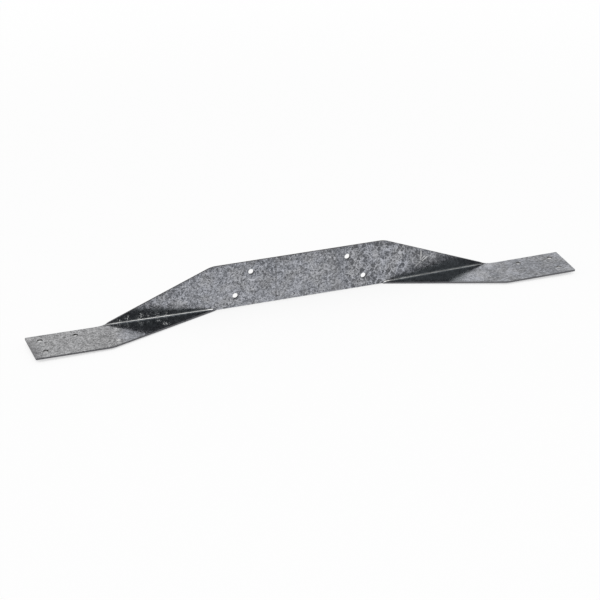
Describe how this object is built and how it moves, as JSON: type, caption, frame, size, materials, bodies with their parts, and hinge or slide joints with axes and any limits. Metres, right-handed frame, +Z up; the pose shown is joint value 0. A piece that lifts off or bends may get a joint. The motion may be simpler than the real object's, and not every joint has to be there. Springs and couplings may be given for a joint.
{
  "type": "hurricane tie",
  "caption": "Folded galvanised steel strap that ties a rafter or truss to the wall plate: an upright web with nail holes, jogged and creased to a level leg at each end.",
  "frame": {"origin": "under the middle of the part's box, at the height of its lowest point, on the surface that it rests on", "axes": "+X along the strap to its right leg, -Y from the web towards the legs' free edges, +Z up along the upright web"},
  "size_m": [0.3828, 0.035, 0.0323],
  "materials": {
    "galvanised_steel": "hot-dip zinc with a fine spangle, satin and light grey"
  },
  "bodies": {
    "root": {"strap": "galvanised_steel"}
  },
  "joints": []
}
